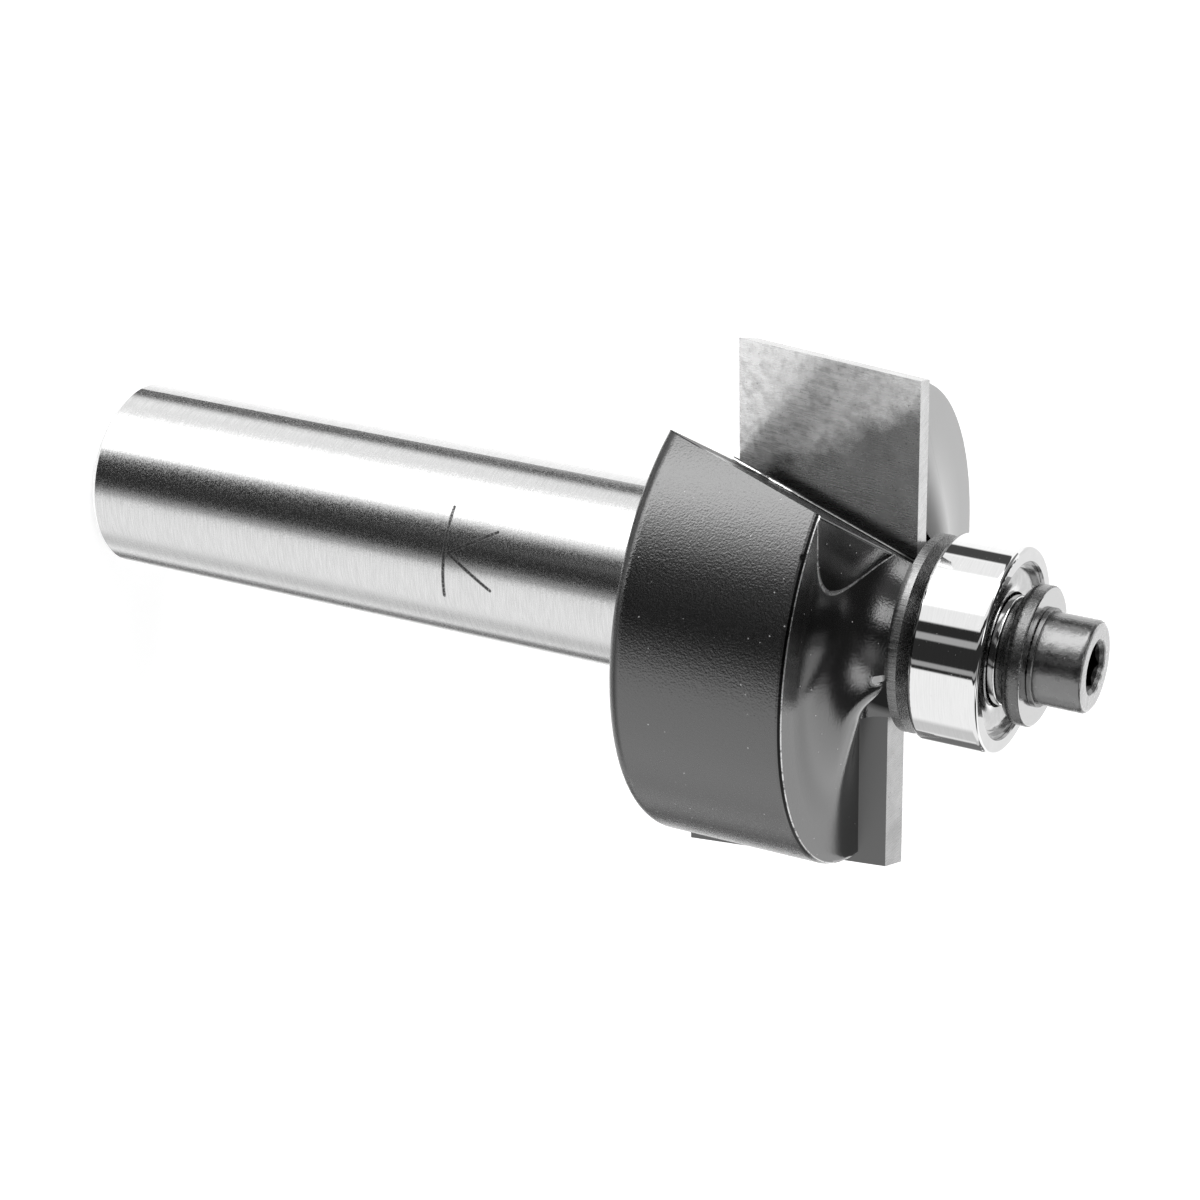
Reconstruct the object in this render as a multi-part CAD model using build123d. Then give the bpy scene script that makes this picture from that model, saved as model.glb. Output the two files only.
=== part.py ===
"""Rabbeting router bit with two sheared carbide tips and a guide ball bearing.

The tool axis is +Z. The origin is the centre of the shank's flat end, on which the
bit stands, and the screw head is at the top. The cut turns counter-clockwise seen
from the top. The rake face of the first tip starts on +X, and the second tip is
the same half a turn on.
"""
import os
from math import atan2, cos, degrees, radians, sin, sqrt

from build123d import *

# Shank and turned head
shank_diameter = 12.0
shank_length = 42.25
shank_end_chamfer = 0.5
shank_root_radius = 0.5
head_length = 11.2
rear_edge_radius = 1.0
front_chamfer_length = 0.35
front_chamfer_depth = 0.12
wing_count = 2

# Front of the head: a flat rim, a hollow dish and the hub that seats the guide
rim_width = 1.85
hub_diameter = 12.86
hub_height = 2.85

# Gullet ahead of each tip: its floor leans back from the heel to the root.
# The floor's distance from the axis is taken square to it, at the height of the rim.
gullet_floor_from_axis = 4.20
gullet_floor_azimuth = -30.3
gullet_floor_tilt = 17.5
gullet_root_radius = 0.15

# Flat ramp that the gullet leaves on the front of the wing behind it
ramp_azimuth = 93.7
ramp_tilt = 17.8
ramp_rise_at_axis = 3.06
ramp_inner_edge = 4.0
ramp_edge_radius = 0.2

# Carbide tips
cutting_diameter = 31.8
cutting_length = 12.7
tip_overhang = 1.05
tip_projection = 1.93
tip_inner_end = 4.4
tip_thickness = 1.95
shear_angle = 10.85
hook_angle = 2.8
side_relief_angle = 17.5
end_relief_angle = 7.0
seat_front_run_out = 3.0
seat_rear_run_out = 2.0

# Clearance channel milled along the back of each tip, into the foot of the hub
channel_width = 5.7
channel_floor_drop = 0.07
channel_end_from_axis = 2.9
channel_floor_radius = 2.4
channel_back_overlap = 1.4

# Clamping screw and its hole
thread_diameter = 3.0
thread_clearance = 0.02
tapped_hole_depth = 9.2
drill_point_angle = 118.0
screw_length = 16.0
screw_tip_chamfer = 0.4
screw_head_diameter = 5.6
screw_head_height = 2.9
screw_head_edge_radius = 0.35
socket_across_flats = 2.5
socket_depth = 1.5
socket_mouth_chamfer = 0.3
socket_turn = 15.0

# Washers and spacer on the screw
washer_bore_clearance = 0.1
rear_washer_diameter = 12.1
rear_washer_thickness = 0.55
spacer_diameter = 6.0
spacer_thickness = 0.75
flange_diameter = 8.5
flange_thickness = 1.35
flange_rear_radius = 0.8
flange_front_radius = 0.15
collar_height = 0.43
shim_diameter = 6.0
shim_thickness = 0.35
shim_edge_radius = 0.08

# Guide bearing
bearing_diameter = 12.7
bearing_bore = 3.175
bearing_width = 4.366
ring_edge_radius = 0.3
bore_edge_radius = 0.15
ball_count = 8
ball_diameter = 1.984
race_clearance = 0.04
race_conformity = 0.52
inner_land_diameter = 6.7
outer_land_diameter = 9.2
shield_seat_diameter = 10.84
shield_thickness = 0.2
shield_dome = 0.16
shield_rim_width = 0.45
shield_bore_clearance = 0.15
shield_fit_clearance = 0.02
snap_ring_depth = 0.25
snap_ring_thickness = 0.25
snap_ring_width = 0.36
snap_groove_depth = 0.14
snap_ring_gap_angle = 16.0
snap_ring_gap_at = -72.0
cage_web = 0.32
cage_finger_length = 0.5
cage_radial_thickness = 0.75
pocket_clearance = 0.06

# Places along the axis, each stacked on the one before
rim_z = shank_length + head_length
hub_z = rim_z + hub_height
rear_washer_z = hub_z
spacer_z = rear_washer_z + rear_washer_thickness
bearing_z = spacer_z + spacer_thickness
bearing_mid_z = bearing_z + bearing_width / 2
collar_z = bearing_z + bearing_width
flange_z = collar_z + collar_height
shim_z = flange_z + flange_thickness
screw_head_z = shim_z + shim_thickness
tip_front_z = rim_z + tip_projection

# Radii that several pieces share
shank_radius = shank_diameter / 2
cutting_radius = cutting_diameter / 2
head_radius = cutting_radius - tip_overhang
tip_height = cutting_radius - tip_inner_end
dish_start_radius = head_radius - rim_width
hub_radius = hub_diameter / 2
dish_reach = dish_start_radius - hub_radius
dish_radius = (dish_reach**2 + hub_height**2) / (2 * hub_height)
thread_radius = thread_diameter / 2
washer_bore_radius = thread_radius + washer_bore_clearance
ball_radius = ball_diameter / 2
pitch_radius = (bearing_diameter + bearing_bore) / 4
race_radius = race_conformity * ball_diameter
shield_depth = snap_ring_depth + snap_ring_thickness


def direction(azimuth, elevation):
    """Unit vector at an azimuth round the axis and an elevation above it, in degrees."""
    flat = cos(radians(elevation))
    return Vector(
        flat * cos(radians(azimuth)),
        flat * sin(radians(azimuth)),
        sin(radians(elevation)),
    )


# Directions of the rake face
rake_out = Vector(cos(radians(hook_angle)), sin(radians(hook_angle)), 0)
rake_normal = Vector(
    -sin(radians(hook_angle)) * cos(radians(shear_angle)),
    cos(radians(hook_angle)) * cos(radians(shear_angle)),
    -sin(radians(shear_angle)),
)
rake_rearward = rake_normal.cross(rake_out)
tip_corner = Vector(cutting_radius, 0, tip_front_z)
tip_run = cutting_length / cos(radians(shear_angle))

# Planes of the gullet's floor and of the ramp, each by a point and its normal
gullet_floor_normal = direction(gullet_floor_azimuth, gullet_floor_tilt)
gullet_floor_point = Vector(0, 0, rim_z) + gullet_floor_normal * gullet_floor_from_axis
ramp_normal = direction(ramp_azimuth, 90 - ramp_tilt)
ramp_point = Vector(0, 0, rim_z + ramp_rise_at_axis)

# Larger than the whole head, for the cutting solids
reach = 2 * cutting_diameter

# How near a plane an edge counts as lying in it
flat_tolerance = 0.001


def block_beyond(point, normal):
    """Block over the head, outwards from the plane through a point."""
    foot = tip_corner + normal * (point - tip_corner).dot(normal)
    return Plane(origin=foot, z_dir=normal) * Box(
        reach, reach, reach, align=(Align.CENTER, Align.CENTER, Align.MIN)
    )


def around(solid):
    """The solid once for each wing, spaced evenly round the axis."""
    step = 360 / wing_count
    return [Rot(0, 0, number * step) * solid for number in range(wing_count)]


def ring(outer_radius, inner_radius, bottom, height):
    """Plain ring round the axis, by its radii, lower face and height."""
    place = Pos(0, 0, bottom)
    low = (Align.CENTER, Align.CENTER, Align.MIN)
    return place * (Cylinder(outer_radius, height, align=low) - Cylinder(inner_radius, height, align=low))


def turned(profile):
    """Solid turned about the axis from a closed profile in the XZ plane."""
    return revolve(make_face(Plane.XZ * profile), Axis.Z)


def turned_blank():
    """Shank and head in one piece, before milling."""
    dish_centre = (dish_start_radius, rim_z + dish_radius)
    dish_end = degrees(atan2(hub_z - dish_centre[1], hub_radius - dish_centre[0]))
    root = shank_root_radius
    rear = rear_edge_radius
    chamfer = shank_end_chamfer
    outline = [
        Polyline(
            (0, hub_z),
            (0, 0),
            (shank_radius - chamfer, 0),
            (shank_radius, chamfer),
            (shank_radius, shank_length - root),
        ),
        CenterArc((shank_radius + root, shank_length - root), root, 180, -90),
        Line((shank_radius + root, shank_length), (head_radius - rear, shank_length)),
        CenterArc((head_radius - rear, shank_length + rear), rear, -90, 90),
        Polyline(
            (head_radius, shank_length + rear),
            (head_radius, rim_z - front_chamfer_length),
            (head_radius - front_chamfer_depth, rim_z),
            (dish_start_radius, rim_z),
        ),
        CenterArc(dish_centre, dish_radius, -90, dish_end + 90),
        Line((hub_radius, hub_z), (0, hub_z)),
    ]
    return turned(Curve() + outline)


def below_head():
    """Everything under the rear face of the head."""
    return Pos(0, 0, shank_length) * Box(reach, reach, reach, align=(Align.CENTER, Align.CENTER, Align.MAX))


def front_ramp():
    """Flat left on the front of the wing whose heel the gullet cuts."""
    face = block_beyond(ramp_point, ramp_normal)
    low = (Align.MIN, Align.MIN, Align.MIN)
    corner = Pos(ramp_inner_edge, 0, rim_z - hub_height)
    stock = corner * Box(cutting_radius, cutting_radius, 2 * hub_height, align=low)
    rim = Pos(0, 0, rim_z - hub_height) * Cylinder(
        head_radius - front_chamfer_depth, 2 * hub_height, align=(Align.CENTER, Align.CENTER, Align.MIN)
    )
    return (stock & rim) - face


def gullet():
    """Wedge milled out between a rake face and the heel of the wing ahead of it."""
    open_side = block_beyond(gullet_floor_point, gullet_floor_normal)
    rake_side = block_beyond(tip_corner, rake_normal)
    root_line = rake_normal.cross(gullet_floor_normal).normalized()
    wedge = open_side & rake_side
    root = wedge.edges().filter_by(lambda edge: abs(abs(edge.tangent_at(0.5).dot(root_line)) - 1) < 1e-6)
    root = root.sort_by(lambda edge: edge.center().X ** 2 + edge.center().Y ** 2)
    wedge = fillet(root[0], gullet_root_radius)
    return wedge - below_head()


def tip_box(front_run_out=0.0, rear_run_out=0.0):
    """Unground carbide blank, as a block that can run out past its front and rear."""
    place = Plane(origin=tip_corner, x_dir=rake_out, z_dir=rake_normal)
    blank = Pos(0, -front_run_out, 0) * Box(
        tip_height,
        front_run_out + tip_run + rear_run_out,
        tip_thickness,
        align=(Align.MAX, Align.MIN, Align.MAX),
    )
    return place * blank


def cutting_edge_end():
    """Rear end of the cutting edge, where the rake face meets the cutting circle."""
    start = tip_corner + rake_rearward * tip_run
    along = start.X * rake_out.X + start.Y * rake_out.Y
    excess = start.X**2 + start.Y**2 - cutting_radius**2
    return start + rake_out * (-along + sqrt(along**2 - excess))


def carbide_tip():
    """Ground tip: side relief behind the cutting edge and end relief at the front."""
    edge = (cutting_edge_end() - tip_corner).normalized()
    side_back = Vector(-sin(radians(side_relief_angle)), -cos(radians(side_relief_angle)), 0)
    end_back = Vector(0, -cos(radians(end_relief_angle)), -sin(radians(end_relief_angle)))
    side_normal = side_back.cross(edge)
    side_normal = side_normal * (1 if side_normal.X > 0 else -1)
    end_normal = end_back.cross(rake_out)
    end_normal = end_normal * (1 if end_normal.Z > 0 else -1)
    over_length = tip_box(tip_thickness)
    return over_length - block_beyond(tip_corner, side_normal) - block_beyond(tip_corner, end_normal)


def back_channel():
    """Flat-bottomed slot along the back of a tip, with a round end in the hub."""
    floor_z = rim_z - channel_floor_drop
    back = tip_corner - rake_normal * tip_thickness
    start = back + rake_rearward * ((floor_z - back.Z) / rake_rearward.Z)
    floor = Plane(origin=start, x_dir=rake_out, z_dir=(0, 0, 1))
    end_along = channel_end_from_axis - start.dot(rake_out)
    middle = -channel_width / 2
    end = Pos(end_along, middle) * Circle(channel_width / 2)
    run = Pos(end_along, middle) * Rectangle(reach, channel_width, align=(Align.MIN, Align.CENTER))
    slot = extrude(floor * (end + run), reach)
    far_edges = slot.edges().group_by(Axis.Z)[0].filter_by(lambda e: e.center().Y < start.Y + middle)
    slot = fillet(far_edges, channel_floor_radius)
    beside = Pos(-tip_height, middle) * Box(
        reach, channel_back_overlap - middle, reach, align=(Align.MIN, Align.MIN, Align.MIN)
    )
    return slot + floor * beside


def screw_hole():
    """Drilled and tapped hole down from the hub."""
    radius = thread_radius + thread_clearance
    bottom = hub_z - tapped_hole_depth
    point = radius / sin(radians(drill_point_angle / 2)) * cos(radians(drill_point_angle / 2))
    return turned(
        Polyline((0, hub_z), (radius, hub_z), (radius, bottom), (0, bottom - point), close=True)
    )


def lies_on(edge, point, normal):
    """Whether an edge lies in a plane, or in the same plane of another wing."""
    centre = edge.center()
    turns = [centre.rotate(Axis.Z, 360 * number / wing_count) for number in range(wing_count)]
    return any(abs((turn - point).dot(normal)) < flat_tolerance for turn in turns)


def tool_body():
    """One turned and milled steel piece: shank, head, wings and hub."""
    body = turned_blank()
    for ramp in around(front_ramp()):
        body += ramp
    for cut in around(gullet()):
        body -= cut
    crests = body.edges().filter_by(GeomType.LINE).filter_by(
        lambda edge: lies_on(edge, ramp_point, ramp_normal)
        and lies_on(edge, gullet_floor_point, gullet_floor_normal)
    )
    body = fillet(crests, ramp_edge_radius)
    seat = tip_box(seat_front_run_out, seat_rear_run_out) - below_head()
    for cut in around(back_channel()) + around(seat):
        body -= cut
    return body - screw_hole()


def rear_washer():
    """Stamped dust washer on the hub."""
    return ring(rear_washer_diameter / 2, washer_bore_radius, rear_washer_z, rear_washer_thickness)


def spacer_ring():
    """Spacer that holds only the inner ring of the bearing."""
    return ring(spacer_diameter / 2, washer_bore_radius, spacer_z, spacer_thickness)


def race_groove(bottom_radius, side):
    """Ring that a ball race is ground with; side is 1 for an outer race, -1 for an inner."""
    centre = bottom_radius - side * race_radius
    return Pos(0, 0, bearing_mid_z) * Torus(centre, race_radius)


def bearing_inner_ring():
    """Inner ring, clamped by the screw."""
    land = inner_land_diameter / 2
    blank = ring(land, bearing_bore / 2, bearing_z, bearing_width)
    rims = blank.edges().filter_by(GeomType.CIRCLE).filter_by(lambda e: e.radius > bearing_bore)
    blank = fillet(rims, bore_edge_radius)
    return blank - race_groove(pitch_radius - ball_radius - race_clearance, -1)


def bearing_outer_ring():
    """Outer ring, which rolls along the work: stepped for shields and snap rings."""
    low = bearing_z
    high = bearing_z + bearing_width
    land = outer_land_diameter / 2
    seat = shield_seat_diameter / 2
    inner = shield_depth + shield_thickness
    blank = ring(bearing_diameter / 2, land, low, bearing_width)
    rims = blank.edges().filter_by(GeomType.CIRCLE).filter_by(lambda e: e.radius > seat)
    blank = fillet(rims, ring_edge_radius)
    for face_z, step in ((low, 1), (high, -1)):
        middle = face_z + step * inner / 2
        blank -= ring(seat, bearing_bore, middle - inner / 2, inner)
        groove_middle = face_z + step * (snap_ring_depth + snap_ring_thickness / 2)
        groove = snap_ring_thickness + 2 * shield_fit_clearance
        blank -= ring(seat + snap_groove_depth, land, groove_middle - groove / 2, groove)
    return blank - race_groove(pitch_radius + ball_radius + race_clearance, 1)


def shield_profile():
    """Half section of a domed shield, its flat rim at the bottom, dome upwards."""
    outer = shield_seat_diameter / 2 - shield_fit_clearance
    inner = inner_land_diameter / 2 + shield_bore_clearance
    rim = outer - shield_rim_width
    top = shield_thickness
    middle = (rim + inner) / 2
    return Curve() + [
        Polyline((inner, top), (inner, 0), (rim, 0), (outer, 0), (outer, top), (rim, top)),
        ThreePointArc((rim, top), (middle, top + shield_dome), (inner, top)),
    ]


def shield_front():
    """Shield in the front of the outer ring, domed outwards."""
    place = bearing_z + bearing_width - shield_depth - shield_thickness
    return Pos(0, 0, place) * turned(shield_profile())


def shield_rear():
    """The same shield, turned over in the rear."""
    place = bearing_z + shield_depth + shield_thickness
    return Pos(0, 0, place) * Rot(180, 0, 0) * turned(shield_profile())


def snap_ring(bottom):
    """Open wire ring that holds a shield, sprung into its groove."""
    outer = shield_seat_diameter / 2 + snap_groove_depth - shield_fit_clearance
    full = ring(outer, outer - snap_ring_width, bottom, snap_ring_thickness)
    half_gap = radians(snap_ring_gap_angle / 2)
    far = bearing_diameter
    wedge = Plane.XY.offset(bottom) * make_face(
        Polyline((0, 0), (far, -far * sin(half_gap)), (far, far * sin(half_gap)), close=True)
    )
    return full - Rot(0, 0, snap_ring_gap_at) * extrude(wedge, snap_ring_thickness)


def balls():
    """Balls of the bearing, by node name."""
    ball = Pos(pitch_radius, 0, bearing_mid_z) * Sphere(ball_radius)
    step = 360 / ball_count
    return {f"ball_{number + 1}": Rot(0, 0, number * step) * ball for number in range(ball_count)}


def ball_cage():
    """Crown cage: a ring over the balls with fingers between them."""
    pocket_radius = ball_radius + pocket_clearance
    inner = pitch_radius - cage_radial_thickness / 2
    height = cage_finger_length + pocket_radius + cage_web
    cage = ring(inner + cage_radial_thickness, inner, bearing_mid_z - cage_finger_length, height)
    pocket = Pos(pitch_radius, 0, bearing_mid_z) * Sphere(pocket_radius)
    for number in range(ball_count):
        cage -= Rot(0, 0, number * 360 / ball_count) * pocket
    return cage


def flange_washer():
    """Collar that clamps the inner ring, with a wide round-edged flange."""
    outer = flange_diameter / 2
    collar = spacer_diameter / 2
    flange = ring(outer, washer_bore_radius, flange_z, flange_thickness)
    rims = flange.edges().filter_by(GeomType.CIRCLE).filter_by(lambda e: e.radius > collar)
    flange = fillet(rims.sort_by(Axis.Z)[:1], flange_rear_radius)
    rims = flange.edges().filter_by(GeomType.CIRCLE).filter_by(lambda e: e.radius > collar)
    flange = fillet(rims.sort_by(Axis.Z)[-1:], flange_front_radius)
    return flange + ring(collar, washer_bore_radius, collar_z, collar_height)


def shim_washer():
    """Thin washer under the screw head."""
    blank = ring(shim_diameter / 2, washer_bore_radius, shim_z, shim_thickness)
    rims = blank.edges().filter_by(GeomType.CIRCLE).filter_by(lambda e: e.radius > washer_bore_radius)
    return fillet(rims, shim_edge_radius)


def cap_screw():
    """Socket head cap screw; its thread is left as a plain cylinder."""
    low = (Align.CENTER, Align.CENTER, Align.MIN)
    high = (Align.CENTER, Align.CENTER, Align.MAX)
    head = Cylinder(screw_head_diameter / 2, screw_head_height, align=low)
    head = fillet(head.edges().sort_by(Axis.Z)[-1], screw_head_edge_radius)
    stem = Cylinder(thread_radius, screw_length, align=high)
    stem = chamfer(stem.edges().sort_by(Axis.Z)[0], screw_tip_chamfer)
    flat_radius = socket_across_flats / 2
    hexagon = Rot(0, 0, socket_turn) * RegularPolygon(flat_radius, 6, major_radius=False)
    socket = extrude(Plane.XY.offset(screw_head_height) * hexagon, -socket_depth)
    point = Pos(0, 0, screw_head_height - socket_depth) * Cone(
        flat_radius, 0, flat_radius / 2, align=high, rotation=(180, 0, 0)
    )
    corner_radius = flat_radius / cos(radians(30))
    mouth_top = corner_radius + socket_mouth_chamfer
    mouth = Pos(0, 0, screw_head_height) * Cone(
        corner_radius - socket_mouth_chamfer, mouth_top, 2 * socket_mouth_chamfer, align=high
    )
    return Pos(0, 0, screw_head_z) * (head + stem - socket - point - mouth)


def pieces():
    """Every piece of the bit, by node name."""
    tips = around(carbide_tip())
    snap_z = bearing_z + bearing_width - shield_depth
    made = {
        "tool_body": tool_body(),
        "carbide_tip_a": tips[0],
        "carbide_tip_b": tips[1],
        "rear_washer": rear_washer(),
        "spacer_ring": spacer_ring(),
        "bearing_inner_ring": bearing_inner_ring(),
        "bearing_outer_ring": bearing_outer_ring(),
        "ball_cage": ball_cage(),
        "shield_front": shield_front(),
        "shield_rear": shield_rear(),
        "snap_ring_front": snap_ring(snap_z),
        "snap_ring_rear": snap_ring(bearing_z + snap_ring_depth),
        "flange_washer": flange_washer(),
        "shim_washer": shim_washer(),
        "cap_screw": cap_screw(),
    }
    made.update(balls())
    return made


os.makedirs("parts", exist_ok=True)
for name, piece in pieces().items():
    export_step(piece, f"parts/{name}.step")
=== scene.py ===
"""Looks, lights and camera for the rabbeting router bit.

Metres, in the same frame as the CAD: the tool axis is +Z and the bit stands on the
flat end of its shank at the origin.
"""

from math import cos, hypot, pi, radians, sin, tan

import bmesh
import bpy
from mathutils import Matrix, Vector


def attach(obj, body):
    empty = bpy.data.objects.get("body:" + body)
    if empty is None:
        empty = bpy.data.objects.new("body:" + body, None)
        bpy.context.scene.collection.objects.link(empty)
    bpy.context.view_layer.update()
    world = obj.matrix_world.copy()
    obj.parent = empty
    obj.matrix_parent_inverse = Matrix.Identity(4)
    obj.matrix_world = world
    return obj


MM = 0.001

# Camera: the photo's lens, place and axes in the bit's own frame
LENS = 97.26
SENSOR = 36.0
CLIP_START = 0.005
CLIP_END = 20
CAMERA_PLACE = Vector((83.296, 164.816, 118.478)) * MM
PICTURE_RIGHT = Vector((-0.003, -0.453, 0.892)).normalized()
PICTURE_AWAY = Vector((-0.420, -0.808, -0.412)).normalized()

# White floor just under the shank, in metres
FLOOR_RADIUS = 2.5
FLOOR_CORNER_STEP = 5
FLOOR_Z = -0.02 * MM
FLOOR_GLOW = 0.55

# Studio panels, in degrees round the picture's horizontal axis: 0 is straight away
# from the camera, 90 is overhead, 180 is behind the camera and -90 is below.
# Each is (middle, slant, half width, softness, left end, right end, brightness). The
# ends run from -1, the picture's left, to 1, its right, and the slant is how far the
# middle moves per unit to the right. Later panels lie over earlier ones.
BACKDROP_LIGHT = 1.5
END_SOFTNESS = 0.06
PANELS = (
    (118, 0, 41.8, 3, -1.2, 0.56, 1.3),
    (116, 0, 18, 10, -1.2, 0.56, 4.6),
    (64.5, 60, 11, 4, -1.2, 0.5, 0.09),
    (190.5, 0, 34.5, 3, -1.2, 1.2, 0.035),
    (152, 0, 10, 5, -1.2, -0.69, 0.04),
    (174.5, 0, 4.5, 3, -0.72, 0.5, 0.55),
    (-146, 0, 3.5, 3, -1.2, 0.5, 0.5),
    (-100, 0, 37, 3, -1.2, 0.5, 1.33),
    (-55, 0, 10, 8, -1.2, 0.5, 0.85),
    (-37, -40, 12, 6, -0.4, 0.5, 0.22),
    (118, 0, 60, 8, 0.54, 1.2, 0.3),
    (-104, 0, 32, 10, 0.52, 1.2, 0.07),
    (131, 0, 12, 8, 0.7, 0.88, 3.2),
    (-176, 0, 9, 8, 0.7, 0.84, 3.2),
    (-138, 0, 8, 8, 0.66, 0.8, 0.7),
    (-115, 0, 8, 6, 0.68, 0.84, 2.4),
    (5, 0, 34, 14, 0.56, 0.84, 1.08),
    (0, 0, 200, 1, 0.9, 1.2, 0.04),
)

# Places on the bit that the finishes follow, in millimetres and degrees
SHANK_RADIUS = 6.0
COATING_START = 42.2
HEEL_RADIUS = 1.0
RIM_Z = 53.45
RIM_EDGE_RADIUS = 14.73
DISH_START = 13.0
HUB_RADIUS = 6.43
HUB_HEIGHT = 2.85
RAMP_AZIMUTH = 93.7
RAMP_TILT = 17.8
RAMP_RISE = 3.06
TIP_CORNER = (15.9, 0.0, 55.38)
TIP_THICKNESS = 1.95
HOOK_ANGLE = 2.8
SHEAR_ANGLE = 10.85
GULLET_FLOOR_NORMAL = (0.8234, -0.4812, 0.3007)
GULLET_FLOOR_FROM_AXIS = 4.2
FLANGE_FACE_Z = 63.75
SCREW_FACE_Z = 66.93
SOCKET_MOUTH_RADIUS = 1.55
SOCKET_RADIUS = 1.46
SOCKET_FLOOR_Z = 64.25
SOCKET_TOP_Z = 66.87
THREAD_RADIUS = 1.52
THREAD_PITCH = 0.5

# Collet mark on the shank: each end is (azimuth, height), in degrees and millimetres
MARK_LINE = ((46, 26.6), (102, 26.6))
MARK_POINT = (74, 26.85)
MARK_ARM_ENDS = ((56, 30.0), (92, 29.9))
MARK_WIDTH = 0.24
MARK_EDGE = (0.3 * MARK_WIDTH, 0.6 * MARK_WIDTH)

# From here to the carbide's painted reflection, places are in millimetres on the first wing. A
# pair is where a soft edge starts and where it ends, and depth is measured forwards from the
# rake face.
FACE_SLACK = 0.01
FRONT_SLACK = 0.02
FRONT_MARGIN = 0.03

# Bare lines along the rim's edge and round the ramp: edge wear, with a painted highlight on the
# edges
RIM_LINE_EDGE = (0.035, 0.07)
RAMP_LINE_OFF_DISH = (0.012, 0.03)
RAMP_LINE_OFF_RAMP = (0.02, 0.05)
RAMP_LINE_ACROSS = (3.9, 4.0)
RAMP_LINE_ALONG = (0.5, 0.6)

# Painted shade, black on the coating: on the gullet's floor by the tip's root and at its rear end
GULLET_INNER_END = 3.0
GULLET_BAND_EDGE = (0.04, 0.08)
ROOT_SHADE_DEPTH = (0.7, 1.1)
REAR_SHADE_Z = (44.6, 45.4)

# Painted shade the same way on the drum's heel, and how strong it is there
HEEL_SHADE_Z = (COATING_START + 0.7 * HEEL_RADIUS, COATING_START + HEEL_RADIUS)
HEEL_SHADE_WIDTH = 0.6
HEEL_SHADE = 0.7

# Painted shade the same way just under the rim's bare line
RIM_SHADE_Z = (RIM_Z - 0.2, RIM_Z - 0.05)
RIM_SHADE_EDGE = 0.04
RIM_SHADE_WIDTH = 0.1

# Painted shade the same way in the corner between the hub and the tip's back
POCKET_ACROSS = (0.0, 4.4)
POCKET_ALONG = (-5.0, -0.5)
POCKET_EDGE = 0.3
POCKET_RADIUS = (4.9, 5.3)
POCKET_BELOW_RIM = 0.2

# Braze along the tip's root, between a least and a greatest depth
BRAZE_DEPTH = (0.02, 0.22)
BRAZE_OFF_FLOOR = 0.35
BRAZE_INNER_END = 6.0
BRAZE_FRONT_END_Z = (46.0, 47.5)

# Chips, and pale spots of which the first, by the hub, is a painted glint: (centre, radius,
# softness)
CHIPS = (
    ((11.75, 9.1, 51.3), 0.16, 0.04),
    ((9.03, 11.76, 53.25), 0.2, 0.05),
)
PALE_SPOTS_WITH_GLINT = (
    ((0.24, -6.75, 56.05), 0.42, 0.12),
    ((14.3, 2.6, 53.3), 0.12, 0.05),
)

# Painted reflection on the carbide: a pale matt patch beside a line through a point (across,
# height)
PATCH_POINT = (8.9, 44.6)
PATCH_SLOPE = 1.57
PATCH_EDGE = (-3.4, -0.9)
PATCH_RAGGEDNESS = 7.0
PATCH_DULLNESS = 0.68

# Parts of a noise's range that the finishes spread their tones and gloss over
NOISE_WIDE = (0.3, 0.7)
NOISE_MIDDLE = (0.35, 0.65)

# Tones, roughness, wear and painted highlights, and refraction of the finishes
BLACK_TONE = 0.012
BARE_AND_HIGHLIGHT_TONE = 0.62
BARE_AND_HIGHLIGHT_ROUGHNESS = 0.3
MATT_ROUGHNESS = 0.46
UPPER_WING_SHEEN = 0.85
SPECK_TONE = 0.5
COATING_IOR = 1.96
CARBIDE_IOR = 1.9
WASHER_IOR = 2.4
SCREW_IOR = 2.25
FLANGE_IOR = 2.0

# Channel milled behind each tip, in millimetres and in the tip's own right-angled
# frame: outwards along the tip and backwards from its back
CHANNEL_START = -3.145
CHANNEL_WIDTH = 5.7
CHANNEL_DROP = 0.07
CHANNEL_WALL_RADIUS = 2.4
CHANNEL_ROUND_END = 2.9

# Steel that carries the dish on over that channel, in millimetres on the first wing
FILL_NEAR = -1.8
FILL_FAR = -8.8
FILL_INNER_END = 4.5
FILL_FAR_INNER_END = 0.5
FILL_TURN_START = -4.6
FILL_TURN_END = -6.6
FILL_END_PULL = 1.7
FILL_RIM_GAP = 0.02
FILL_BOTTOM = 52.9
FILL_SINK = 0.004
FILL_ROWS = 64


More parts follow.
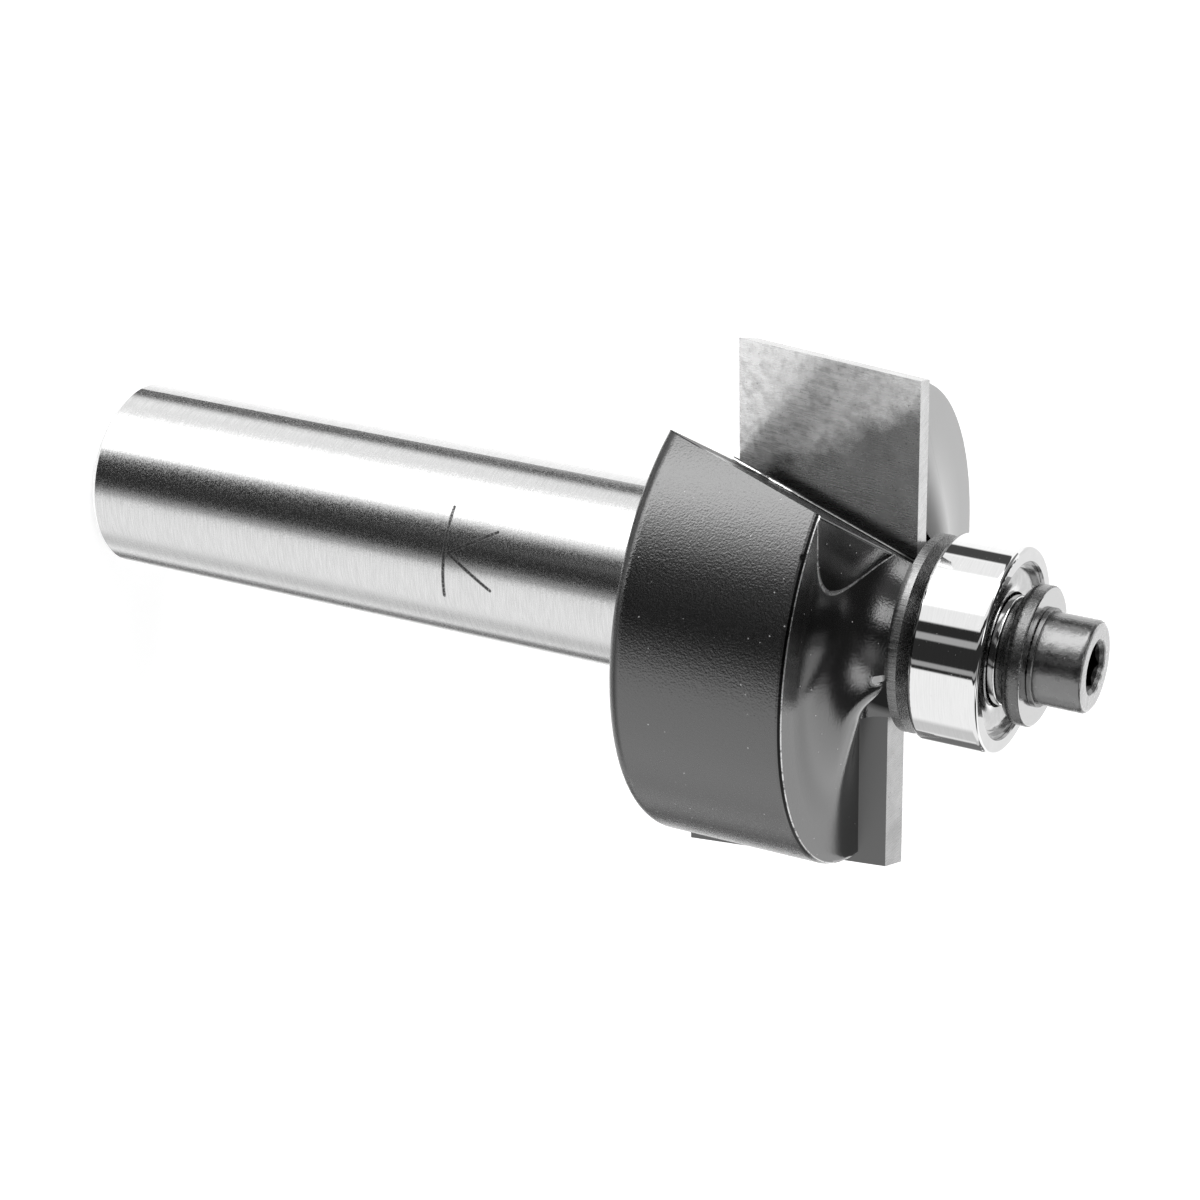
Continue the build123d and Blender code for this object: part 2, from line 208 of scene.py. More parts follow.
class Recipe:
    """One material's node tree, with short calls for what the finishes share."""

    def __init__(self, name):
        self.material = bpy.data.materials.new(name)
        self.material.use_nodes = True
        self.tree = self.material.node_tree
        self.tree.nodes.clear()
        self.place = self.node("ShaderNodeTexCoord").outputs["Object"]
        self.axes = self.node("ShaderNodeSeparateXYZ", {0: self.place}).outputs

    def node(self, kind, inputs=None, **settings):
        return add_node(self.tree, kind, inputs, settings)

    def math(self, operation, *values):
        inputs = dict(enumerate(values))
        return self.node("ShaderNodeMath", inputs, operation=operation).outputs[0]

    def above(self, value, level):
        return self.math("GREATER_THAN", value, level)

    def below(self, value, level):
        return self.math("LESS_THAN", value, level)

    def opposite(self, mask):
        """1 where a mask is 0, and 0 where it is 1."""
        return self.math("SUBTRACT", 1.0, mask)

    def both(self, *masks):
        """1 where every mask is 1."""
        result = masks[0]
        for mask in masks[1:]:
            result = self.math("MULTIPLY", result, mask)
        return result

    def either(self, *masks):
        """1 where any mask is 1."""
        result = masks[0]
        for mask in masks[1:]:
            result = self.math("MAXIMUM", result, mask)
        return result

    def length(self, *parts):
        """Length of a vector, from its parts."""
        total = self.math("MULTIPLY", parts[0], parts[0])
        for part in parts[1:]:
            total = self.math("ADD", total, self.math("MULTIPLY", part, part))
        return self.math("SQRT", total)

    def ranged(self, value, low, high, to_low=0.0, to_high=1.0):
        inputs = {"Value": value, "From Min": low, "From Max": high,
                  "To Min": to_low, "To Max": to_high}
        return self.node("ShaderNodeMapRange", inputs).outputs[0]

    def fading(self, value, low, high):
        """1 below a low value, and none above a high one."""
        return self.ranged(value, low, high, 1.0, 0.0)

    def between(self, value, low, high, soft):
        """1 from a low to a high value, with soft ends outside them."""
        return self.both(self.ranged(value, low - soft, low),
                         self.fading(value, high, high + soft))

    def blend(self, share, first, second):
        """The first value where a share is 0, and the second where it is 1."""
        inputs = {"Factor": share, 2: first, 3: second}
        return self.node("ShaderNodeMix", inputs, data_type="FLOAT").outputs[0]

    def stretched(self, scale, rotation=(0, 0, 0)):
        """Place scaled and turned, for a noise with a direction."""
        inputs = {"Vector": self.place, "Rotation": rotation, "Scale": scale}
        return self.node("ShaderNodeMapping", inputs).outputs[0]

    def noise(self, scale, detail=3.0, roughness=0.5, place=None):
        """Cloudy noise, with about so many grains to the metre."""
        inputs = {"Vector": place or self.place, "Scale": scale,
                  "Detail": detail, "Roughness": roughness}
        return self.node("ShaderNodeTexNoise", inputs).outputs[0]

    def specks(self, scale, *edge):
        """Small round specks at scattered points, whose soft edge is in cell widths."""
        cells = self.node("ShaderNodeTexVoronoi", {"Vector": self.place, "Scale": scale})
        return self.fading(cells.outputs["Distance"], *edge)

    def bump(self, height, strength, depth, normal=None):
        """Small relief from a height, with its depth in millimetres."""
        inputs = {"Height": height, "Strength": strength, "Distance": depth * MM}
        if normal is not None:
            inputs["Normal"] = normal
        return self.node("ShaderNodeBump", inputs).outputs[0]

    def radius(self):
        """Distance from the tool axis."""
        return self.length(self.axes[0], self.axes[1])

    def azimuth(self):
        return self.math("ARCTAN2", self.axes[1], self.axes[0])

    def millimetres(self, value):
        return self.math("MULTIPLY", value, 1 / MM)

    def mirrored(self):
        """Coordinates in millimetres, with the second wing turned onto the first."""
        side = self.math("SIGN", self.axes[0])
        across = self.millimetres(self.math("MULTIPLY", self.axes[0], side))
        along = self.millimetres(self.math("MULTIPLY", self.axes[1], side))
        return across, along, self.millimetres(self.axes[2])

    def finish(self, colour, roughness, metallic=1.0, normal=None, **sockets):
        """Principled shader, joined to the output."""
        inputs = {"Base Color": colour, "Roughness": roughness, "Metallic": metallic}
        if normal is not None:
            inputs["Normal"] = normal
        inputs.update(sockets)
        shader = self.node("ShaderNodeBsdfPrincipled", inputs)
        self.node("ShaderNodeOutputMaterial", {"Surface": shader.outputs[0]})
        return self.material


def add_node(tree, kind, inputs, settings):
    """New node in a tree, with its settings made and its inputs set or joined."""
    node = tree.nodes.new(kind)
    for name, value in settings.items():
        setattr(node, name, value)
    for key, value in (inputs or {}).items():
        socket = node.inputs[key]
        if isinstance(value, bpy.types.NodeSocket):
            tree.links.new(value, socket)
        elif socket.type == "RGBA" and isinstance(value, float):
            socket.default_value = (value, value, value, 1.0)
        else:
            socket.default_value = value
    return node


def studio_world():
    """Light tent round the bit, as panels in the picture's own upright frame."""
    world = bpy.data.worlds.new("studio")
    bpy.context.scene.world = world
    world.use_nodes = True
    world.node_tree.nodes.clear()
    picture_up = PICTURE_RIGHT.cross(PICTURE_AWAY)

    def add(kind, inputs=None, **settings):
        return add_node(world.node_tree, kind, inputs, settings)

    def math(operation, *values):
        return add("ShaderNodeMath", dict(enumerate(values)), operation=operation).outputs[0]

    def inside(value, middle, half, soft):
        """1 within a half width of a middle, falling softly to 0 beyond."""
        away = math("ABSOLUTE", math("SUBTRACT", value, middle))
        inputs = {"Value": away, "From Min": half - soft / 2, "From Max": half + soft / 2,
                  "To Min": 1.0, "To Max": 0.0}
        return add("ShaderNodeMapRange", inputs, interpolation_type="SMOOTHSTEP").outputs[0]

    where = add("ShaderNodeTexCoord").outputs["Generated"]

    def along(vector):
        inputs = {0: where, 1: vector}
        return add("ShaderNodeVectorMath", inputs, operation="DOT_PRODUCT").outputs["Value"]

    turn = math("ARCTAN2", along(picture_up), along(PICTURE_AWAY))
    rightward = along(PICTURE_RIGHT)
    level = add("ShaderNodeValue").outputs[0]
    level.default_value = BACKDROP_LIGHT
    for middle, slant, half, soft, left, right, bright in PANELS:
        centre = math("MULTIPLY_ADD", rightward, radians(slant), radians(middle))
        turned = math("WRAP", math("SUBTRACT", turn, centre), pi, -pi)
        round_axis = inside(turned, 0.0, radians(half), radians(soft))
        lengthwise = inside(rightward, (left + right) / 2, (right - left) / 2, END_SOFTNESS)
        share = math("MULTIPLY", round_axis, lengthwise)
        inputs = {"Factor": share, 2: level, 3: bright}
        level = add("ShaderNodeMix", inputs, data_type="FLOAT").outputs[0]
    seen = add("ShaderNodeLightPath").outputs["Is Camera Ray"]
    panels = add("ShaderNodeBackground", {"Color": (1, 1, 1, 1), "Strength": level})
    plain = add("ShaderNodeBackground", {"Color": (1, 1, 1, 1), "Strength": 1.0})
    mixed = add("ShaderNodeMixShader", {0: seen, 1: panels.outputs[0], 2: plain.outputs[0]})
    add("ShaderNodeOutputWorld", {"Surface": mixed.outputs[0]})


def photo_camera():
    """Camera at the photo's place, with its roll."""
    data = bpy.data.cameras.new("photo_camera")
    data.lens = LENS
    data.sensor_width = SENSOR
    data.sensor_fit = "HORIZONTAL"
    data.clip_start = CLIP_START
    data.clip_end = CLIP_END
    camera = bpy.data.objects.new("photo_camera", data)
    bpy.context.collection.objects.link(camera)
    right = PICTURE_RIGHT
    back = -(PICTURE_AWAY - right * PICTURE_AWAY.dot(right)).normalized()
    axes = Matrix((right, back.cross(right), back)).transposed().to_4x4()
    camera.matrix_world = Matrix.Translation(CAMERA_PLACE) @ axes
    bpy.context.scene.camera = camera


def floor():
    """Plain white floor under the shank.

    It is hidden from reflections, so that they show the panels.
    """
    mesh = bpy.data.meshes.new("floor")
    corners = []
    for degrees in range(0, 360, FLOOR_CORNER_STEP):
        turn = radians(degrees)
        corners.append((FLOOR_RADIUS * cos(turn), FLOOR_RADIUS * sin(turn), FLOOR_Z))
    mesh.from_pydata(corners, [], [tuple(range(len(corners)))])
    plane = bpy.data.objects.new("floor", mesh)
    bpy.context.collection.objects.link(plane)
    recipe = Recipe("floor_white")
    tone = recipe.ranged(recipe.noise(40.0, 4.0), 0.0, 1.0, 0.86, 0.9)
    paper = recipe.node("ShaderNodeBsdfDiffuse", {"Color": tone})
    glow = recipe.node("ShaderNodeEmission", {"Color": (1, 1, 1, 1), "Strength": FLOOR_GLOW})
    both = recipe.node("ShaderNodeAddShader", {0: paper.outputs[0], 1: glow.outputs[0]})
    recipe.node("ShaderNodeOutputMaterial", {"Surface": both.outputs[0]})
    mesh.materials.append(recipe.material)
    plane.visible_glossy = False


def dish_arc():
    """Radius of the curve in which the dish rises to the hub."""
    reach = DISH_START - HUB_RADIUS
    return (reach**2 + HUB_HEIGHT**2) / (2 * HUB_HEIGHT)


def dish_profile(recipe, radius):
    """Height of the dished front above the rim, in millimetres, at a radius."""
    arc = dish_arc()
    inward = recipe.math("MAXIMUM", recipe.math("SUBTRACT", DISH_START, radius), 0.0)
    square = recipe.math("MULTIPLY", inward, inward)
    under = recipe.math("SQRT", recipe.math("SUBTRACT", arc**2, square))
    return recipe.math("SUBTRACT", arc, under)


def edge_wear_and_highlights(recipe, place, radius):
    """Bare metal along the rim's outer edge and round the ramp on each wing: edge wear, with a
    painted highlight on those edges.
    """
    across, along, height = place
    above_rim = recipe.math("SUBTRACT", height, RIM_Z)
    off_rim = recipe.length(recipe.math("SUBTRACT", radius, RIM_EDGE_RADIUS), above_rim)
    rim_line = recipe.fading(off_rim, *RIM_LINE_EDGE)

    azimuth = radians(RAMP_AZIMUTH)
    outwards = recipe.math("ADD", recipe.math("MULTIPLY", across, cos(azimuth)),
                           recipe.math("MULTIPLY", along, sin(azimuth)))
    fall = recipe.math("MULTIPLY", outwards, tan(radians(RAMP_TILT)))
    ramp = recipe.math("SUBTRACT", RAMP_RISE, fall)
    off_dish = recipe.math("SUBTRACT", ramp, dish_profile(recipe, radius))
    off_ramp = recipe.math("SUBTRACT", ramp, above_rim)
    ramp_line = recipe.both(
        recipe.fading(recipe.math("ABSOLUTE", off_dish), *RAMP_LINE_OFF_DISH),
        recipe.fading(recipe.math("ABSOLUTE", off_ramp), *RAMP_LINE_OFF_RAMP),
        recipe.ranged(across, *RAMP_LINE_ACROSS),
        recipe.ranged(along, *RAMP_LINE_ALONG),
    )
    broken = recipe.ranged(recipe.noise(1900.0, 3.0, 0.6), 0.36, 0.5, 0.15, 1.0)
    return recipe.both(recipe.either(rim_line, ramp_line), broken)


def stroke(recipe, across, up, start, end):
    """Mask of a straight engraved stroke on the unrolled shank, in millimetres."""
    run = (end[0] - start[0], end[1] - start[1])
    length = hypot(*run)
    from_across = recipe.math("SUBTRACT", across, start[0])
    from_up = recipe.math("SUBTRACT", up, start[1])
    share = recipe.math("ADD", recipe.math("MULTIPLY", from_across, run[0] / length**2),
                        recipe.math("MULTIPLY", from_up, run[1] / length**2))
    share = recipe.node("ShaderNodeClamp", {0: share}).outputs[0]
    off_across = recipe.math("SUBTRACT", from_across, recipe.math("MULTIPLY", share, run[0]))
    off_up = recipe.math("SUBTRACT", from_up, recipe.math("MULTIPLY", share, run[1]))
    return recipe.fading(recipe.length(off_across, off_up), *MARK_EDGE)


def clamp_mark(recipe):
    """Laser mark of the least depth that goes into the collet: a line and an arrowhead."""
    across = recipe.math("MULTIPLY", recipe.azimuth(), SHANK_RADIUS)
    up = recipe.millimetres(recipe.axes[2])

    def drawn(start, end):
        ends = [(radians(azimuth) * SHANK_RADIUS, height) for azimuth, height in (start, end)]
        return stroke(recipe, across, up, *ends)

    mark = recipe.either(drawn(*MARK_LINE), *(drawn(MARK_POINT, end) for end in MARK_ARM_ENDS))
    return recipe.both(mark, recipe.ranged(recipe.noise(9000.0, 2.0), 0.3, 0.5, 0.55, 1.0))


def plane_distance(recipe, place, normal, level):
    """Distance beyond a plane, in millimetres, from coordinates in millimetres."""
    parts = [recipe.math("MULTIPLY", part, along) for part, along in zip(place, normal)]
    total = recipe.math("ADD", recipe.math("ADD", parts[0], parts[1]), parts[2])
    return recipe.math("SUBTRACT", total, level)


def rake_depth(recipe, place):
    """Distance in front of the rake face; the tip lies behind it."""
    hook = radians(HOOK_ANGLE)
    shear = radians(SHEAR_ANGLE)
    normal = (-sin(hook) * cos(shear), cos(hook) * cos(shear), -sin(shear))
    level = sum(part * along for part, along in zip(normal, TIP_CORNER))
    return plane_distance(recipe, place, normal, level)


def gullet_floor_distance(recipe, place):
    """Distance off the flat floor of the gullet in front of each tip."""
    across, along, height = place
    from_rim = (across, along, recipe.math("SUBTRACT", height, RIM_Z))
    off = plane_distance(recipe, from_rim, GULLET_FLOOR_NORMAL, GULLET_FLOOR_FROM_AXIS)
    return recipe.math("ABSOLUTE", off)


def spots(recipe, place, marks):
    """Soft balls round some points."""
    balls = []
    for centre, radius, soft in marks:
        off = [recipe.math("SUBTRACT", along, middle) for along, middle in zip(place, centre)]
        balls.append(recipe.fading(recipe.length(*off), radius - soft, radius + soft))
    return recipe.either(*balls)


def painted_shade_masks(recipe, place, radius, depth, off_floor):
    """Masks of painted shade, black on the coating: that on the gullet's floor, and all of it."""
    across, along, height = place
    gullet = recipe.both(
        recipe.fading(off_floor, *GULLET_BAND_EDGE),
        recipe.either(recipe.fading(depth, *ROOT_SHADE_DEPTH),
                      recipe.fading(height, *REAR_SHADE_Z)),
        recipe.above(across, GULLET_INNER_END))
    heel = recipe.both(
        recipe.ranged(height, *HEEL_SHADE_Z, HEEL_SHADE, 0.0),
        recipe.above(radius, RIM_EDGE_RADIUS - HEEL_SHADE_WIDTH))
    rim = recipe.both(
        recipe.between(height, *RIM_SHADE_Z, RIM_SHADE_EDGE),
        recipe.above(radius, RIM_EDGE_RADIUS - RIM_SHADE_WIDTH))
    pocket = recipe.both(
        recipe.between(across, *POCKET_ACROSS, POCKET_EDGE),
        recipe.between(along, *POCKET_ALONG, POCKET_EDGE),
        recipe.fading(radius, *POCKET_RADIUS),
        recipe.above(height, RIM_Z - POCKET_BELOW_RIM))
    return gullet, recipe.either(gullet, rim, pocket, heel)


def braze_line(recipe, place, depth, off_floor):
    """Ragged braze along each tip's root."""
    width = recipe.ranged(recipe.noise(1400.0, 4.0, 0.6), 0.4, 0.65, *BRAZE_DEPTH)
    return recipe.both(recipe.below(depth, width),
                       recipe.below(off_floor, BRAZE_OFF_FLOOR),
                       recipe.fading(place[2], *BRAZE_FRONT_END_Z),
                       recipe.above(place[0], BRAZE_INNER_END))


def tool_steel():
    """Bright ground shank with its mark, and the satin black coating on the head above, with
    painted shade and painted highlights on the coating.
    """
    recipe = Recipe("ground_and_coated_steel")
    coated = recipe.above(recipe.axes[2], COATING_START * MM)
    place = recipe.mirrored()
    radius = recipe.millimetres(recipe.radius())
    depth = rake_depth(recipe, place)
    off_floor = gullet_floor_distance(recipe, place)

    rings = recipe.noise(1.0, 2.0, 0.5, recipe.stretched((900, 900, 30000)))
    grain = recipe.noise(9000.0, 2.0)
    mark = clamp_mark(recipe)
    ground_tone = recipe.blend(mark, recipe.ranged(rings, *NOISE_WIDE, 0.5, 0.62), 0.06)
    ground_rough = recipe.blend(mark, recipe.ranged(grain, *NOISE_MIDDLE, 0.18, 0.28), 0.5)
    ground_bump = recipe.bump(rings, 0.3, 0.006, recipe.bump(grain, 0.3, 0.008))

    front = recipe.both(recipe.above(place[2], RIM_Z - FRONT_SLACK),
                        recipe.below(radius, RIM_EDGE_RADIUS - FRONT_MARGIN))
    tiny = recipe.noise(14000.0, 2.0)
    peel = recipe.bump(recipe.noise(8000.0, 1.5), recipe.blend(front, 1.0, 0.35), 0.02)
    coat_bump = recipe.bump(tiny, 0.2, 0.005, peel)
    coat_tone = recipe.blend(recipe.specks(1150.0, 0.03, 0.06), 0.006, SPECK_TONE)
    coat_rough = recipe.blend(front, recipe.ranged(tiny, *NOISE_WIDE, 0.2, 0.28),
                              recipe.ranged(tiny, *NOISE_WIDE, 0.1, 0.16))

    # The photo shows the chips and pale spots on one side of the bit, the first spot a painted
    # glint by the hub, and a pale front on the other wing, which is a painted sheen
    seen_side = recipe.above(recipe.axes[1], 0.0)
    # Painted sheen: the front of the upper wing is pale bare metal
    upper_wing_sheen = recipe.both(front, recipe.above(recipe.axes[0], 0.0),
                             recipe.below(recipe.axes[1], 0.0),
                             recipe.above(radius, HUB_RADIUS))
    # Painted shade: black, unreflecting coating in the gullet, on the heel, under the rim's edge
    # and in the hub's pocket; the chips are added to it below
    gullet, shaded = painted_shade_masks(recipe, place, radius, depth, off_floor)
    chips = recipe.both(seen_side, spots(recipe, place, CHIPS))
    black = recipe.both(recipe.either(shaded, chips), coated)
    # Pale bare metal: edge wear and the braze, with painted highlights on the edges, a painted
    # glint by the hub and painted sheen on the upper wing
    bare_and_highlights = recipe.either(
        recipe.both(seen_side, spots(recipe, place, PALE_SPOTS_WITH_GLINT)),
        recipe.math("MULTIPLY", upper_wing_sheen, UPPER_WING_SHEEN),
        edge_wear_and_highlights(recipe, place, radius),
        braze_line(recipe, place, depth, off_floor))
    bare_and_highlights_on_coat = recipe.both(bare_and_highlights, coated)
    matt = recipe.either(upper_wing_sheen, recipe.both(gullet, coated))

    metal = recipe.either(recipe.opposite(coated), bare_and_highlights_on_coat, black)
    tone = recipe.blend(coated, ground_tone, recipe.blend(black, coat_tone, BLACK_TONE))
    tone = recipe.blend(bare_and_highlights_on_coat, tone, BARE_AND_HIGHLIGHT_TONE)
    rough = recipe.blend(coated, ground_rough, coat_rough)
    rough = recipe.blend(bare_and_highlights_on_coat, rough, BARE_AND_HIGHLIGHT_ROUGHNESS)
    rough = recipe.blend(matt, rough, MATT_ROUGHNESS)
    bumps = {"Factor": coated, 4: ground_bump, 5: coat_bump}
    normal = recipe.node("ShaderNodeMix", bumps, data_type="VECTOR").outputs[1]
    return recipe.finish(tone, rough, metal, normal, IOR=COATING_IOR)


def carbide():
    """Ground tungsten carbide with slanting grinding marks, pits, and a pale matt patch that is a
    painted reflection.

    The unground back of each tip keeps the head's black coating.
    """
    recipe = Recipe("ground_carbide")
    place = recipe.mirrored()
    across, _, height = place
    depth = rake_depth(recipe, place)
    coated = recipe.below(depth, -TIP_THICKNESS + FACE_SLACK)
    on_rake = recipe.above(depth, -FACE_SLACK)

    marks = recipe.noise(1.0, 3.0, 0.6, recipe.stretched((7000, 500, 700), (0, radians(-45), 0)))
    stain = recipe.noise(420.0, 5.0, 0.62)
    cloud = recipe.noise(1500.0, 5.0, 0.65)
    pitted = recipe.both(recipe.specks(2900.0, 0.06, 0.19),
                         recipe.ranged(recipe.noise(700.0, 3.0), 0.42, 0.6))
    # Painted reflection: a pale, matt patch on the rake face with a ragged edge
    outwards = recipe.math("SUBTRACT", across, PATCH_POINT[0])
    upwards = recipe.math("SUBTRACT", height, PATCH_POINT[1])
    past_line = recipe.math("SUBTRACT", recipe.math("MULTIPLY", outwards, PATCH_SLOPE), upwards)
    wobble = recipe.math("MULTIPLY", recipe.math("SUBTRACT", stain, 0.5), PATCH_RAGGEDNESS)
    patch = recipe.both(recipe.ranged(recipe.math("ADD", past_line, wobble), *PATCH_EDGE), on_rake)
    dull = recipe.math("MULTIPLY", patch, PATCH_DULLNESS)

    ground_tone = recipe.blend(patch, recipe.ranged(stain, *NOISE_MIDDLE, 0.36, 0.48),
                               recipe.ranged(cloud, 0.34, 0.56, 0.56, 0.86))
    mark_tone = recipe.ranged(marks, *NOISE_WIDE, 0.88, 1.08)
    ground_tone = recipe.math("MULTIPLY", ground_tone, mark_tone)
    ground_tone = recipe.blend(recipe.math("MULTIPLY", pitted, 0.8), ground_tone, 0.03)
    tone = recipe.blend(coated, ground_tone, BLACK_TONE)
    rough = recipe.blend(coated, recipe.ranged(marks, *NOISE_WIDE, 0.2, 0.36), 0.3)
    metal = recipe.both(recipe.opposite(dull), recipe.opposite(coated))
    normal = recipe.bump(marks, 0.3, 0.005)
    normal = recipe.bump(pitted, 0.4, -0.012, normal)
    return recipe.finish(tone, rough, metal, normal, IOR=CARBIDE_IOR)


def bearing_steel():
    """Polished rolling ring with a little dust on it."""
    recipe = Recipe("polished_bearing_steel")
    dusty = recipe.both(recipe.specks(4200.0, 0.05, 0.11),
                        recipe.ranged(recipe.noise(900.0, 2.0), 0.5, 0.6))
    grain = recipe.noise(1.0, 2.0, 0.5, recipe.stretched((700, 700, 16000)))
    tone = recipe.ranged(grain, *NOISE_WIDE, 0.61, 0.65)
    rough = recipe.blend(dusty, recipe.ranged(grain, *NOISE_WIDE, 0.03, 0.06), 0.45)
    normal = recipe.bump(dusty, 0.35, 0.006, recipe.bump(grain, 0.1, 0.002))
    return recipe.finish(tone, rough, 1.0, normal)


def stamped_washer():
    """Oxidised washer with the axial lines that shearing leaves on its rim."""
    recipe = Recipe("stamped_washer_oxide")
    lines_at = recipe.node("ShaderNodeCombineXYZ", {
        0: recipe.azimuth(), 1: recipe.math("MULTIPLY", recipe.axes[2], 12.0)})
    lines = recipe.noise(60.0, 3.0, 0.65, lines_at.outputs[0])
    grain = recipe.noise(5200.0, 3.0)
    tone = recipe.ranged(lines, *NOISE_MIDDLE, 0.01, 0.14)
    rough = recipe.ranged(grain, *NOISE_WIDE, 0.2, 0.32)
    normal = recipe.bump(lines, 0.6, 0.02, recipe.bump(grain, 0.2, 0.005))
    return recipe.finish(tone, rough, 0.0, normal, IOR=WASHER_IOR)


def screw_oxide():
    """Black oxide on forged steel, finely mottled, with the rolled thread on the stem and painted
    shade inside the socket.
    """
    recipe = Recipe("screw_black_oxide")
    height = recipe.axes[2]
    radius = recipe.radius()
    cloud = recipe.noise(1700.0, 4.0, 0.62)
    fine = recipe.noise(7000.0, 3.0, 0.55)
    turns = recipe.math("ADD", recipe.math("MULTIPLY", height, 1 / (THREAD_PITCH * MM)),
                        recipe.math("MULTIPLY", recipe.azimuth(), 1 / (2 * pi)))
    flank = recipe.math("PINGPONG", turns, 0.5)
    stem = recipe.both(recipe.below(radius, THREAD_RADIUS * MM),
                       recipe.below(height, FLANGE_FACE_Z * MM))
    in_mouth = recipe.below(radius, SOCKET_MOUTH_RADIUS * MM)
    face = recipe.both(recipe.above(height, SCREW_FACE_Z * MM), recipe.opposite(in_mouth))
    # Painted shade: the socket's inside is near-black, unreflecting metal
    inside = recipe.both(recipe.below(radius, SOCKET_RADIUS * MM),
                         recipe.above(height, SOCKET_FLOOR_Z * MM),
                         recipe.below(height, SOCKET_TOP_Z * MM))
    tone = recipe.blend(recipe.specks(2600.0, 0.04, 0.09),
                        recipe.ranged(cloud, *NOISE_MIDDLE, 0.006, 0.03), 0.3)
    tone = recipe.blend(face, recipe.blend(inside, tone, 0.02), 0.5)
    metal = recipe.either(recipe.math("MULTIPLY", face, 0.5), inside)
    rough = recipe.ranged(cloud, *NOISE_MIDDLE, 0.16, 0.28)
    normal = recipe.bump(fine, 0.6, 0.014, recipe.bump(cloud, 0.7, 0.05))
    normal = recipe.bump(recipe.math("MULTIPLY", flank, stem), 1.0, THREAD_PITCH, normal)
    return recipe.finish(tone, rough, metal, normal, IOR=SCREW_IOR)


def flange_oxide():
    """Black oxide on the flange washer: rough, pitted rim with painted speckle highlights, and
    smooth turned front.
    """
    recipe = Recipe("flange_black_oxide")
    front = recipe.above(recipe.axes[2], (FLANGE_FACE_Z - FRONT_SLACK) * MM)
    pits = recipe.noise(4200.0, 3.0, 0.6)
    fine = recipe.noise(12000.0, 2.0)
    # Painted highlights: light specks scattered on the rim
    specks = recipe.both(recipe.specks(3600.0, 0.06, 0.13), recipe.opposite(front))
    rim_tone = recipe.blend(specks, recipe.ranged(pits, *NOISE_MIDDLE, 0.004, 0.02), 0.4)
    tone = recipe.blend(front, rim_tone, recipe.ranged(fine, *NOISE_WIDE, 0.5, 0.58))
    rough = recipe.blend(front, recipe.ranged(fine, *NOISE_WIDE, 0.2, 0.34), 0.14)
    normal = recipe.bump(pits, recipe.blend(front, 1.0, 0.05), 0.03)
    return recipe.finish(tone, rough, front, normal, IOR=FLANGE_IOR)


def even_metal(name, tone_range, rough_range, grain, metallic=1.0):
    """Metal or plastic with a fine even grain in its tone, gloss and surface."""
    recipe = Recipe(name)
    cloud = recipe.noise(grain, 3.0, 0.55)
    fine = recipe.noise(grain * 4, 2.0)
    tone = recipe.ranged(cloud, *NOISE_WIDE, *tone_range)
    rough = recipe.ranged(fine, *NOISE_WIDE, *rough_range)
    return recipe.finish(tone, rough, metallic, recipe.bump(fine, 0.2, 0.004))


def smooth(share):
    """A share held between 0 and 1, eased at both ends."""
    share = min(max(share, 0.0), 1.0)
    return share * share * (3 - 2 * share)


def fill_height(across, along):
    """Top of a channel's fill: level with the rim by the tip, rising softly to the dish.

    It meets the dish where the channel's rounded wall comes out of it.
    """
    arc = dish_arc()
    inward = max(DISH_START - max(hypot(across, along), HUB_RADIUS), 0.0)
    dish = arc - (arc**2 - inward**2) ** 0.5
    under_top = max(CHANNEL_WALL_RADIUS - CHANNEL_DROP - dish, 0.0)
    wall = (CHANNEL_WALL_RADIUS**2 - under_top**2) ** 0.5
    hook = radians(HOOK_ANGLE)
    outwards = across * cos(hook) + along * sin(hook)
    backwards = CHANNEL_START + across * sin(hook) - along * cos(hook)
    past_end = FILL_END_PULL * min(outwards - CHANNEL_ROUND_END, 0.0)
    away = hypot(past_end, max(backwards, 0.0))
    rise = smooth(away / (CHANNEL_WIDTH - CHANNEL_WALL_RADIUS + wall))
    return RIM_Z - FILL_SINK + dish * rise


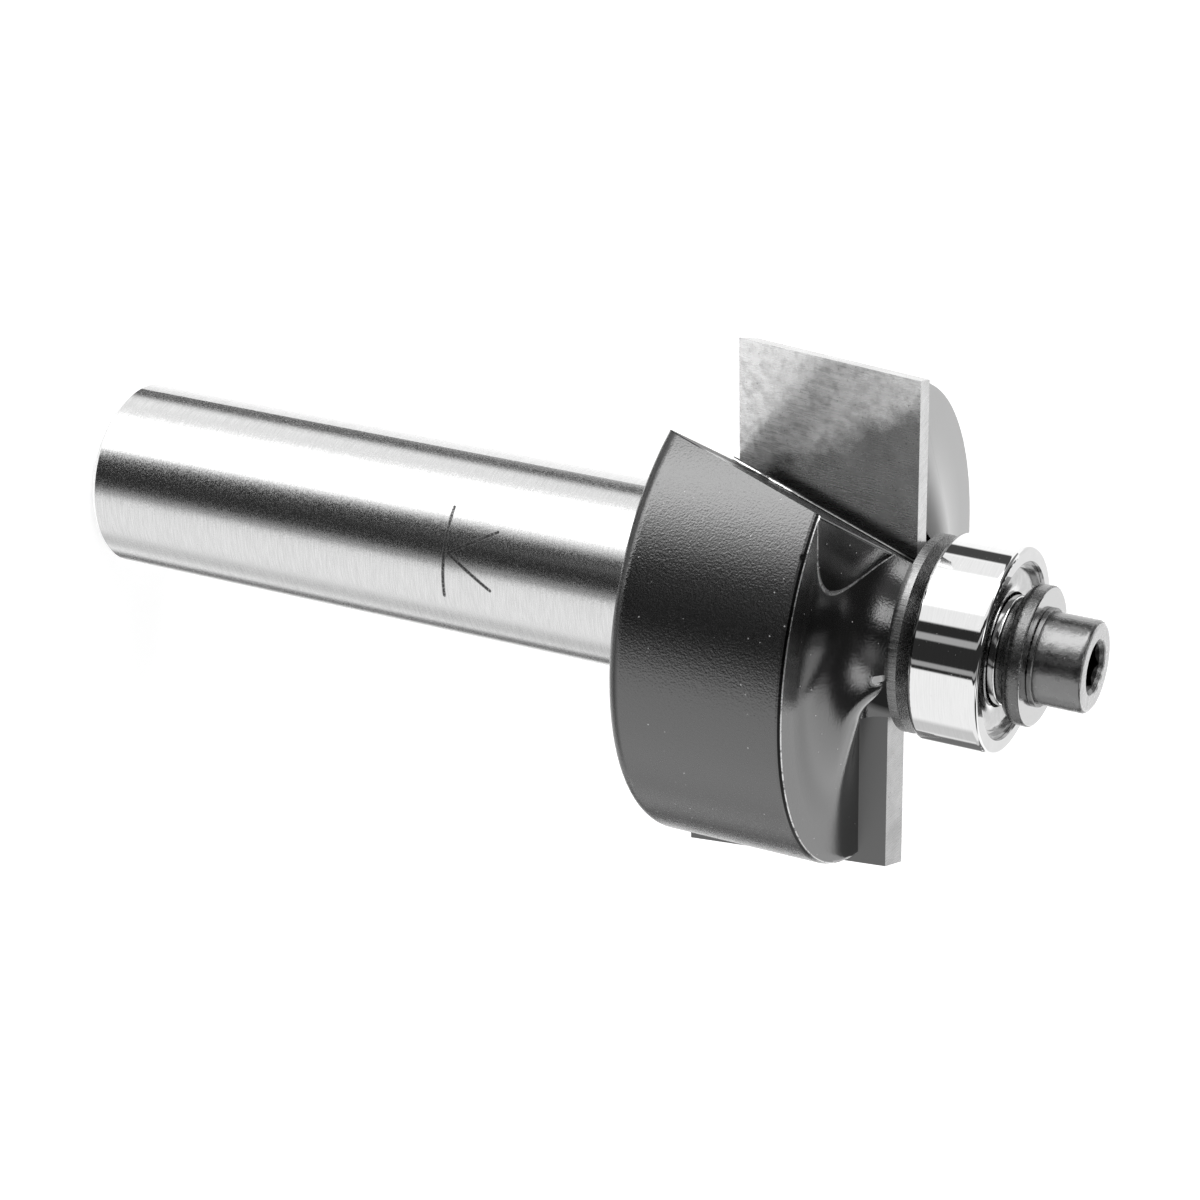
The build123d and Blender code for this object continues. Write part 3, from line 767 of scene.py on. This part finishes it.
def channel_fill(name, side, finish):
    """Closed block over the channel behind one tip, whose top carries the dish on."""
    mesh = bpy.data.meshes.new(name)
    build = bmesh.new()
    grid = []
    outer = RIM_EDGE_RADIUS - FILL_RIM_GAP
    for row in range(FILL_ROWS + 1):
        along = FILL_NEAR + (FILL_FAR - FILL_NEAR) * row / FILL_ROWS
        far_end = (outer**2 - along**2) ** 0.5
        turned = smooth((along - FILL_TURN_START) / (FILL_TURN_END - FILL_TURN_START))
        inner_end = FILL_INNER_END + (FILL_FAR_INNER_END - FILL_INNER_END) * turned
        line = []
        for column in range(FILL_ROWS + 1):
            across = inner_end + (far_end - inner_end) * column / FILL_ROWS
            x, y = across * side * MM, along * side * MM
            top = build.verts.new((x, y, fill_height(across, along) * MM))
            low = build.verts.new((x, y, FILL_BOTTOM * MM))
            line.append((top, low))
        grid.append(line)
    for row in range(FILL_ROWS):
        for column in range(FILL_ROWS):
            corners = (grid[row][column], grid[row + 1][column],
                       grid[row + 1][column + 1], grid[row][column + 1])
            build.faces.new([corner[0] for corner in corners])
            build.faces.new([corner[1] for corner in reversed(corners)])
    rim = [grid[0][column] for column in range(FILL_ROWS)]
    rim += [grid[row][FILL_ROWS] for row in range(FILL_ROWS)]
    rim += [grid[FILL_ROWS][column] for column in range(FILL_ROWS, 0, -1)]
    rim += [grid[row][0] for row in range(FILL_ROWS, 0, -1)]
    for first, second in zip(rim, rim[1:] + rim[:1]):
        build.faces.new((first[0], second[0], second[1], first[1]))
    bmesh.ops.recalc_face_normals(build, faces=build.faces)
    for face in build.faces:
        face.smooth = face.normal.z > 0.5
    build.to_mesh(mesh)
    build.free()
    mesh.materials.append(finish)
    piece = bpy.data.objects.new(name, mesh)
    bpy.context.collection.objects.link(piece)
    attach(piece, "tool")


def dress():
    """A finished material on every CAD node, and the two pieces over the channels."""
    tip = carbide()
    head = tool_steel()
    screw = screw_oxide()
    polished = bearing_steel()
    sheet = even_metal("rolled_shield", (0.46, 0.54), (0.1, 0.18), 2400.0)
    wire = even_metal("spring_wire", (0.26, 0.34), (0.14, 0.22), 2400.0)
    finishes = {
        "tool_body": head,
        "carbide_tip_a": tip,
        "carbide_tip_b": tip,
        "rear_washer": stamped_washer(),
        "spacer_ring": screw,
        "ball_cage": even_metal("cage_nylon", (0.62, 0.7), (0.4, 0.5), 900.0, metallic=0.0),
        "shield_front": sheet,
        "shield_rear": sheet,
        "snap_ring_front": wire,
        "snap_ring_rear": wire,
        "flange_washer": flange_oxide(),
        "shim_washer": screw,
        "cap_screw": screw,
    }
    for name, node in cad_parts.items():
        finish = finishes.get(name, polished)
        slots = node.data.materials
        if len(slots) == 0:
            slots.append(finish)
        for index in range(len(slots)):
            slots[index] = finish
    channel_fill("dish_steel_a", 1, head)
    channel_fill("dish_steel_b", -1, head)


def main():
    studio_world()
    photo_camera()
    floor()
    dress()
    view = bpy.context.scene.view_settings
    view.view_transform = "Standard"
    view.look = "None"


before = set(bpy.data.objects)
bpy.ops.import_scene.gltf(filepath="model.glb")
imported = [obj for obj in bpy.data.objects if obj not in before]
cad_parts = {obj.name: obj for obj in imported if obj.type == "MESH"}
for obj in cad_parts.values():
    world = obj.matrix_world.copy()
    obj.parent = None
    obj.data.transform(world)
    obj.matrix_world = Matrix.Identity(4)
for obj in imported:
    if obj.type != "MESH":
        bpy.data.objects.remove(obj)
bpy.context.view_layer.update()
main()
